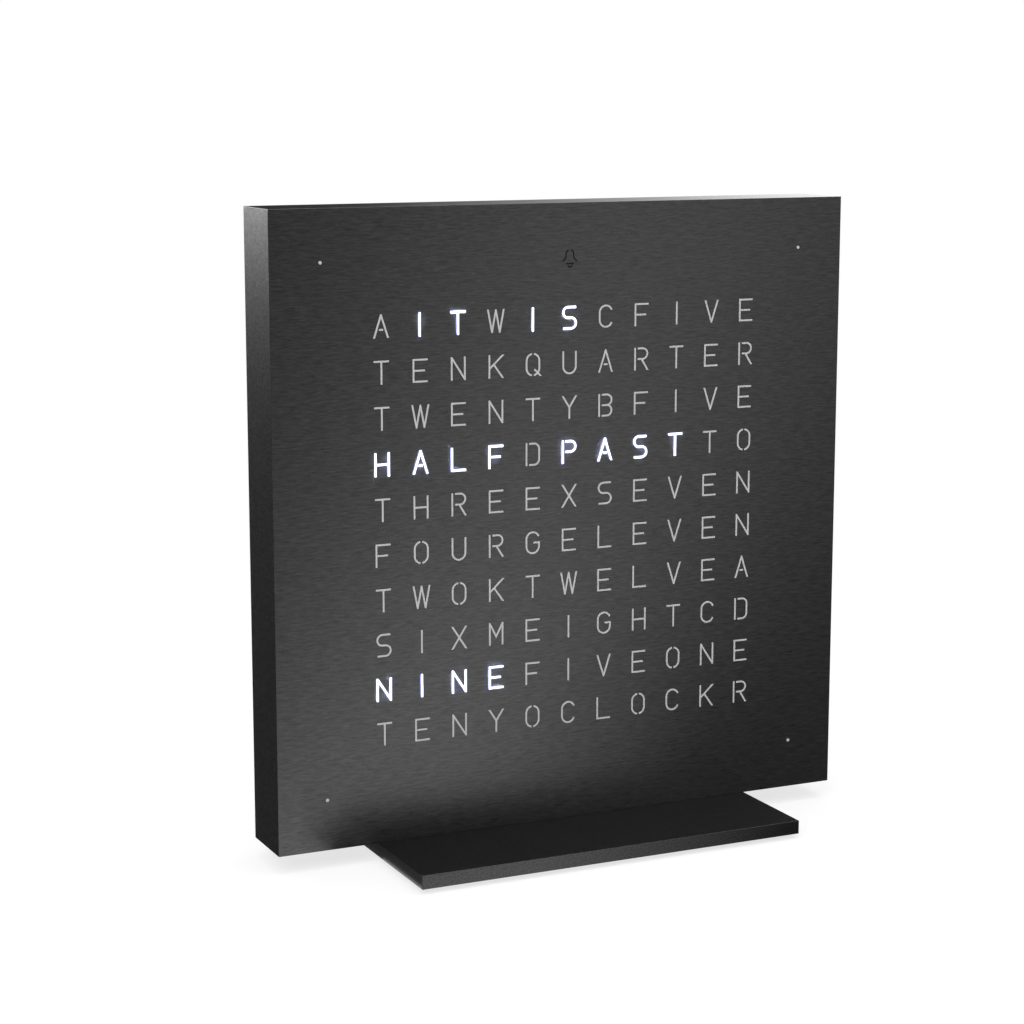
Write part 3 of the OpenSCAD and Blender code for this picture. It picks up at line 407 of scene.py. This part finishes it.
class WORDCLOCK_OT_letters(ClockOperator, bpy.types.Operator):
    """Finishes the resin letters, and lights the words that are on"""

    bl_idname = "word_clock.letters"
    bl_label = "Letters"

    def make(self, face, finish, stage):
        dress(
            "letter_diffuser",
            opal_resin(finish.letter),
            lit_resin("lit_resin_front", finish.light, face.glow),
            # The sides of a lit stroke carry the painted glow, which paints a halo on the steel round it
            lit_resin("lit_resin_side_painted_glow", finish.painted_halo, face.glow, face.painted_halo),
        )
        middle_row = (face.rows - 1) / 2
        middle_column = (face.columns - 1) / 2
        found = set()
        for polygon, middle, normal in polygons("letter_diffuser"):
            column = round(middle.x / face.column_pitch + middle_column)
            row = round(middle_row - (middle.z - MIDDLE_Z + face.drop) / face.row_pitch)
            if middle.y > SHEET_Y - 2 * NEAR_BY or column not in LIT_CELLS.get(row, ()):
                continue
            found.add((row, column))
            # The front of a lit stroke glows with its diode; its sides carry the painted glow of the halo
            polygon.material_index = 1 if normal.y < -0.5 else 2
        if len(found) != sum(len(cells) for cells in LIT_CELLS.values()):
            raise RuntimeError(f"the lit letters aren't all there: {sorted(found)}")


class WORDCLOCK_OT_alarm_window(ClockOperator, bpy.types.Operator):
    """Finishes the smoked window that fills the alarm symbol"""

    bl_idname = "word_clock.alarm_window"
    bl_label = "Alarm window"

    def make(self, face, finish, stage):
        smoked = moulded_plastic("smoked_resin", "#131313", 0.6, 0.4, 0.002, ior=1.2)
        dress("alarm_window", smoked)


class WORDCLOCK_OT_light_stack(ClockOperator, bpy.types.Operator):
    """Finishes the light grid, the light board and what is soldered to it"""

    bl_idname = "word_clock.light_stack"
    bl_label = "Light stack"

    def make(self, face, finish, stage):
        dress("light_grid", moulded_plastic("black_abs_grid", "#1B1B1D", 0.45, 0.3))
        dress("led_board", solder_mask("white_solder_mask", "#E6E8E6", "#D9DBD3"))
        diode = bare_diode()
        for node in ("word_leds", "minute_leds", "alarm_led"):
            dress(node, diode)
        chip = moulded_plastic("black_epoxy", "#1D1D1F", 0.5, 0.15, 0.008)
        for node in ("light_sensor", "led_drivers", "microcontroller", "voltage_regulator", "sounder"):
            dress(node, chip)


class WORDCLOCK_OT_chassis(ClockOperator, bpy.types.Operator):
    """Finishes the chassis, the touch spring and the pins between the boards"""

    bl_idname = "word_clock.chassis"
    bl_label = "Chassis"

    def make(self, face, finish, stage):
        dress("chassis", moulded_plastic("glass_filled_nylon", "#202022", 0.5, 0.5, 0.02))
        dress("touch_spring", plain_metal("phosphor_bronze", "#C08C4E", 0.25))
        dress("board_link", moulded_plastic("header_nylon", "#242426", 0.45))


class WORDCLOCK_OT_controller(ClockOperator, bpy.types.Operator):
    """Finishes the controller board and the parts on it"""

    bl_idname = "word_clock.controller"
    bl_label = "Controller"

    def make(self, face, finish, stage):
        dress("controller_board", solder_mask("green_solder_mask", "#14402A", "#1E5B3B"))
        can = plain_metal("drawn_aluminium", "#C9CBCE", 0.28)
        for node in ("clock_crystal", "capacitors"):
            dress(node, can)
        dress("cell_holder", moulded_plastic("holder_pbt", "#232327", 0.45))
        steel = plain_metal("nickel_plated_steel", "#CDCBC5", 0.22)
        for node in ("backup_cell", "cell_clip"):
            dress(node, steel)
        dress("key_switches", moulded_plastic("switch_nylon", "#2A2A2E", 0.4))


class WORDCLOCK_OT_keys(ClockOperator, bpy.types.Operator):
    """Finishes the four keys and the plungers under them"""

    bl_idname = "word_clock.keys"
    bl_label = "Keys"

    def make(self, face, finish, stage):
        cap = moulded_plastic("satin_abs_key", finish.key, 0.38, 0.2, 0.004)
        filling = moulded_plastic("symbol_paint", "#C9CACC", 0.5, 0.2, 0.004)
        red = moulded_plastic("plunger_acetal", "#8A2F2A", 0.35)
        for name in ("mode", "minus", "plus", "alarm"):
            key = f"key_{name}"
            dress(key, cap, filling)
            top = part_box(key)[1].y
            # The sign is a groove 0.2 mm deep, and its floor is filled with paint
            for polygon, middle, normal in polygons(key):
                painted = normal.y > 0.9 and top - 0.3 * MM < middle.y < top - 0.1 * MM
                polygon.material_index = int(painted)
            dress(f"plunger_{name}", red)
            low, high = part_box(key)
            centre = ((low + high) / 2).xz
            # The rim of the cap is rounded, and the edges of the sign inside it stay sharp
            soften(
                key, 0.25,
                lambda middle: middle.y > top - NEAR_BY and (middle.xz - centre).length > 3.2 * MM,
            )


class WORDCLOCK_OT_power(ClockOperator, bpy.types.Operator):
    """Finishes the power inlet, its pin and nut, and the lead behind it"""

    bl_idname = "word_clock.power"
    bl_label = "Power inlet"

    def make(self, face, finish, stage):
        dress("power_inlet", moulded_plastic("inlet_pbt", "#141416", 0.22, 0.4, 0.002))
        dress("inlet_pin", plain_metal("nickel_plated_brass", "#D8C9A0", 0.18))
        dress("inlet_nut", plain_metal("zinc_plated_nut", "#A9ACB2", 0.3))
        dress("power_socket", moulded_plastic("natural_nylon", "#E3DFD2", 0.45))
        dress("power_lead_red", moulded_plastic("red_pvc", "#A32420", 0.35))
        dress("power_lead_black", moulded_plastic("black_pvc", "#17171A", 0.35))
        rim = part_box("power_inlet")[1].y - NEAR_BY
        soften("power_inlet", 0.2, lambda middle: middle.y > rim)


class WORDCLOCK_OT_rear_cover(ClockOperator, bpy.types.Operator):
    """Finishes the moulded rear cover"""

    bl_idname = "word_clock.rear_cover"
    bl_label = "Rear cover"

    def make(self, face, finish, stage):
        dress("rear_cover", moulded_plastic("spark_eroded_abs", finish.cover, 0.55, 0.22, 0.03))
        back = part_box("rear_cover")[1].y - NEAR_BY
        soften("rear_cover", 0.3, lambda middle: middle.y > back)


class WORDCLOCK_OT_base(ClockOperator, bpy.types.Operator):
    """Finishes the base plate and its feet"""

    bl_idname = "word_clock.base"
    bl_label = "Base"

    def make(self, face, finish, stage):
        plate = blasted_black_steel(
            "blasted_base_steel", finish.base, roughness=0.34, grain_mm=0.32, mottle=0.45
        )
        dress("base_plate", plate)
        dress("rubber_feet", moulded_plastic("black_rubber", "#161617", 0.8, 0.3, 0.02, mottle=0.1))
        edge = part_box("base_plate")[1]
        soften(
            "base_plate", 0.1,
            lambda middle: abs(middle.x) > edge.x - NEAR_BY or abs(middle.y) > edge.y - NEAR_BY,
        )
        soften("rubber_feet", 0.2, lambda middle: middle.z < NEAR_BY)


class WORDCLOCK_OT_fasteners(ClockOperator, bpy.types.Operator):
    """Finishes the screws and the threaded inserts"""

    bl_idname = "word_clock.fasteners"
    bl_label = "Fasteners"

    def make(self, face, finish, stage):
        black = plain_metal("black_oxide_steel", "#3B3B3D", 0.35)
        zinc = plain_metal("zinc_plated_steel", "#B4B8BF", 0.28)
        for node in ("cover_screws", "base_screws"):
            dress(node, black)
        for node in ("panel_screws", "controller_screws"):
            dress(node, zinc)
        dress("base_inserts", plain_metal("knurled_brass", "#C2A25A", 0.3))
        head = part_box("cover_screws")[1].y - NEAR_BY
        soften("cover_screws", 0.08, lambda middle: middle.y > head)


class WORDCLOCK_OT_stage(ClockOperator, bpy.types.Operator):
    """Sets up the white studio: floor, surround, lamps and camera"""

    bl_idname = "word_clock.stage"
    bl_label = "Studio"

    def make(self, face, finish, stage):
        scene = bpy.context.scene
        scene.view_settings.view_transform = "Standard"
        surround(scene, stage.ambient)
        floor()
        for lamp in LAMPS:
            softbox(*lamp)
        # Sheets seen only in reflections, which paint the reflections on the steel
        for place_of_flag in flags():
            flag(*place_of_flag)
        eye = bpy.data.cameras.new("camera")
        eye.lens = stage.lens
        eye.sensor_width = 36.0
        camera = bpy.data.objects.new("camera", eye)
        camera.location = stage.camera
        camera.rotation_euler = Vector(stage.looks).to_track_quat("-Z", "Y").to_euler()
        scene.collection.objects.link(camera)
        scene.camera = camera


# Lamps: name, place, point aimed at, width, height, watts
LAMPS = (
    ("lamp_behind_left", (-0.42, 1.1, 0.33), (-0.0675, 0.0, 0.1), 0.5, 0.4, 5.0),
    ("lamp_front_left", (-0.8, -0.9, 0.9), (0.0, 0.0, 0.07), 0.7, 0.7, 10.0),
    ("lamp_above", (0.1, -0.1, 1.3), (0.0, 0.0, 0.07), 0.8, 0.8, 10.0),
)

# A lane of light runs over the floor from the clock's foot to the front right, between dark flags. Only reflections
# see
# the lane and the flags: they paint the bright band and the dark sides on the steel, where the camera sees white
# floor.
# NEAR is where the flags start, just in front of the face, FAR where they turn up, and TALL their top
NEAR, FAR, TALL = -0.0112, -3.0, 2.2
# Each line: x beside the clock, x at the far end, shade of the line
LANE = (
    (-0.9, -3.5, 0.05),
    (-0.13, 1.15, 0.05),
    (-0.07, 1.68, 1.12),
    (-0.035, 1.88, 1.12),
    (0.025, 2.15, 0.1),
    (0.9, 5.0, 0.13),
)

# The flag behind the clock, seen only in reflections, where it paints the reflection along the top of the case: x,
# and the shade there. It is dark on the left, and bright on the right
BEHIND = ((0.0, 0.0), (0.75, 0.0), (1.1, 0.75), (1.4, 2.6), (1.8, 3.6))


def flags():
    """Flags round the clock, which paint the reflections on the steel: name, four corners in order, and the shade at
    each corner.
    """
    flat = 0.6 * MM
    low = 2 * flat
    for i, ((near0, far0, shade0), (near1, far1, shade1)) in enumerate(zip(LANE, LANE[1:])):
        shades = (shade0, shade1, shade1, shade0)
        yield (
            f"lane_{i}", ((near0, NEAR, flat), (near1, NEAR, flat), (far1, FAR, flat), (far0, FAR, flat)), shades
        )
        yield (
            f"lane_end_{i}", ((far0, FAR, flat), (far1, FAR, flat), (far1, FAR, TALL), (far0, FAR, TALL)), shades
        )
    yield (
        "beside_base",
        ((-0.053, -0.036, low), (-0.0455, -0.036, low), (-0.0455, 0.036, low), (-0.053, 0.036, low)),
        (0.1, 0.1, 0.1, 0.1),
    )
    yield (
        "behind_floor",
        ((-2.5, NEAR, flat), (-0.0455, NEAR, flat), (-0.0455, 2.0, flat), (-2.5, 2.0, flat)),
        (0.07, 0.07, 0.07, 0.07),
    )
    for i, ((x0, shade0), (x1, shade1)) in enumerate(zip(BEHIND, BEHIND[1:])):
        yield (
            f"behind_{i}", ((x0, 2.0, flat), (x1, 2.0, flat), (x1, 2.0, TALL), (x0, 2.0, TALL)),
            (shade0, shade1, shade1, shade0),
        )
    yield (
        "behind_low",
        ((-1.4, 2.0, flat), (0.0, 2.0, flat), (0.0, 2.0, 0.15), (-1.4, 2.0, 0.15)),
        (0.09, 0.05, 0.05, 0.09),
    )


def ray_is_seen(tree):
    """1 for rays from the camera, and for what metal and glass show."""
    path = add(tree, "ShaderNodeLightPath")
    seen = path.outputs["Is Camera Ray"]
    for name in ("Is Glossy Ray", "Is Transmission Ray"):
        seen = add(
            tree, "ShaderNodeMath", {0: seen, 1: path.outputs[name]}, operation="MAXIMUM"
        ).outputs[0]
    return seen


def surround(scene, ambient):
    """A white surround where it is seen, and soft grey light from it on everything else."""
    world = bpy.data.worlds.new("surround")
    world.use_nodes = True
    scene.world = world
    tree = world.node_tree
    background = tree.nodes["Background"]
    strength = add(
        tree, "ShaderNodeMapRange",
        {"Value": ray_is_seen(tree), "To Min": ambient, "To Max": 1.0},
    ).outputs["Result"]
    background.inputs["Color"].default_value = (1.0, 1.0, 1.0, 1.0)
    tree.links.new(strength, background.inputs["Strength"])


def floor():
    """A pale floor that is white where it is seen, and keeps a soft shadow under the clock. It can be
    looked through from below."""
    half = 6.0
    low = -0.02 * MM
    corners = [(-half, -half, low), (half, -half, low), (half, half, low), (-half, half, low)]
    mesh = bpy.data.meshes.new("floor")
    mesh.from_pydata(corners, [], [(0, 1, 2, 3)])
    floor_object = bpy.data.objects.new("floor", mesh)
    bpy.context.scene.collection.objects.link(floor_object)
    material = bpy.data.materials.new("white_paper")
    material.use_nodes = True
    tree = material.node_tree
    paper = tree.nodes["Principled BSDF"]
    paper.inputs["Base Color"].default_value = (0.8, 0.8, 0.8, 1.0)
    paper.inputs["Roughness"].default_value = 0.9
    paper.inputs["Specular IOR Level"].default_value = 0.0
    white = add(tree, "ShaderNodeEmission", {"Color": (1.0, 1.0, 1.0, 1.0), "Strength": 1.0}).outputs[0]
    where = add(tree, "ShaderNodeTexCoord").outputs["Object"]
    away = add(tree, "ShaderNodeVectorMath", {0: where}, operation="LENGTH").outputs["Value"]
    lit = add(
        tree, "ShaderNodeMapRange",
        {"Value": away, "From Min": 0.12, "From Max": 0.4, "To Min": 0.72, "To Max": 1.0},
        interpolation_type="SMOOTHSTEP",
    ).outputs["Result"]
    share = add(tree, "ShaderNodeMath", {0: ray_is_seen(tree), 1: lit}, operation="MULTIPLY").outputs[0]
    above = add(tree, "ShaderNodeMixShader", {0: share, 1: paper.outputs[0], 2: white}).outputs[0]
    below = add(tree, "ShaderNodeBsdfTransparent").outputs[0]
    side = add(tree, "ShaderNodeNewGeometry").outputs["Backfacing"]
    both = add(tree, "ShaderNodeMixShader", {0: side, 1: above, 2: below}).outputs[0]
    tree.links.new(both, tree.nodes["Material Output"].inputs["Surface"])
    mesh.materials.append(material)


def softbox(name, place_at, aim, width, height, watts):
    """A soft rectangular lamp that the camera doesn't see."""
    light = bpy.data.lights.new(name, "AREA")
    light.shape = "RECTANGLE"
    light.size = width
    light.size_y = height
    light.energy = watts
    lamp = bpy.data.objects.new(name, light)
    lamp.location = place_at
    lamp.rotation_euler = (Vector(aim) - Vector(place_at)).to_track_quat("-Z", "Z").to_euler()
    lamp.visible_camera = False
    bpy.context.scene.collection.objects.link(lamp)


def flag(name, corners, shades, steps=12):
    """A glowing sheet that only reflections see, which paints a reflection on the metal. Its shade is graded between
    its four corners.
    """
    a, b, c, d = (Vector(corner) for corner in corners)
    grid = [(i / steps, j / steps) for j in range(steps + 1) for i in range(steps + 1)]
    points = [a.lerp(b, u).lerp(d.lerp(c, u), v) for u, v in grid]
    row = steps + 1
    quads = [
        (k, k + 1, k + 1 + row, k + row) for j in range(steps) for k in range(j * row, j * row + steps)
    ]
    mesh = bpy.data.meshes.new(name)
    mesh.from_pydata(points, [], quads)
    shade = mesh.attributes.new("shade", "FLOAT", "POINT")
    for value, (u, v) in zip(shade.data, grid):
        low = shades[0] + (shades[1] - shades[0]) * u
        high = shades[3] + (shades[2] - shades[3]) * u
        value.value = low + (high - low) * v
    card = bpy.data.objects.new(name, mesh)
    bpy.context.scene.collection.objects.link(card)
    # Hidden from the camera, from diffuse light and from shadows: the sheet is only a painted reflection
    for rays in ("camera", "diffuse", "shadow", "transmission", "volume_scatter"):
        setattr(card, f"visible_{rays}", False)
    mesh.materials.append(painted_reflection_sheet())


def painted_reflection_sheet():
    """A glowing sheet for the painted reflections, whose shade is read from the mesh."""
    material = bpy.data.materials.get("painted_reflection_sheet")
    if material:
        return material
    material = bpy.data.materials.new("painted_reflection_sheet")
    material.use_nodes = True
    tree = material.node_tree
    tree.nodes.remove(tree.nodes["Principled BSDF"])
    shade = add(tree, "ShaderNodeAttribute", attribute_name="shade").outputs["Fac"]
    glow = add(tree, "ShaderNodeEmission", {"Color": (1.0, 1.0, 1.0, 1.0), "Strength": shade}).outputs[0]
    tree.links.new(glow, tree.nodes["Material Output"].inputs["Surface"])
    return material


# ---------------------------------------------------------------------------------------------------------
# Panel and registration

OPERATORS = (
    WORDCLOCK_OT_case,
    WORDCLOCK_OT_letters,
    WORDCLOCK_OT_alarm_window,
    WORDCLOCK_OT_light_stack,
    WORDCLOCK_OT_chassis,
    WORDCLOCK_OT_controller,
    WORDCLOCK_OT_keys,
    WORDCLOCK_OT_power,
    WORDCLOCK_OT_rear_cover,
    WORDCLOCK_OT_base,
    WORDCLOCK_OT_fasteners,
    WORDCLOCK_OT_stage,
)


class WORDCLOCK_PT_panel(bpy.types.Panel):
    """Lists the clock's operators and values"""

    bl_idname = "WORDCLOCK_PT_panel"
    bl_label = "Word Clock"
    bl_space_type = "VIEW_3D"
    bl_region_type = "UI"
    bl_category = "Word Clock"

    def draw(self, context):
        for group, kind in GROUPS.items():
            values = getattr(context.scene, group)
            column = self.layout.column(align=True)
            for name in kind.__annotations__:
                column.prop(values, name)
        for operator in OPERATORS:
            self.layout.operator(operator.bl_idname)


CLASSES = (*GROUPS.values(), *OPERATORS, WORDCLOCK_PT_panel)


def register():
    for cls in CLASSES:
        bpy.utils.register_class(cls)
    for name, group in GROUPS.items():
        setattr(bpy.types.Scene, name, bpy.props.PointerProperty(type=group))


def unregister():
    for name in GROUPS:
        delattr(bpy.types.Scene, name)
    for cls in reversed(CLASSES):
        bpy.utils.unregister_class(cls)


def main():
    register()
    for operator in OPERATORS:
        group, name = operator.bl_idname.split(".")
        getattr(getattr(bpy.ops, group), name)()


if __name__ == "__main__":
    main()
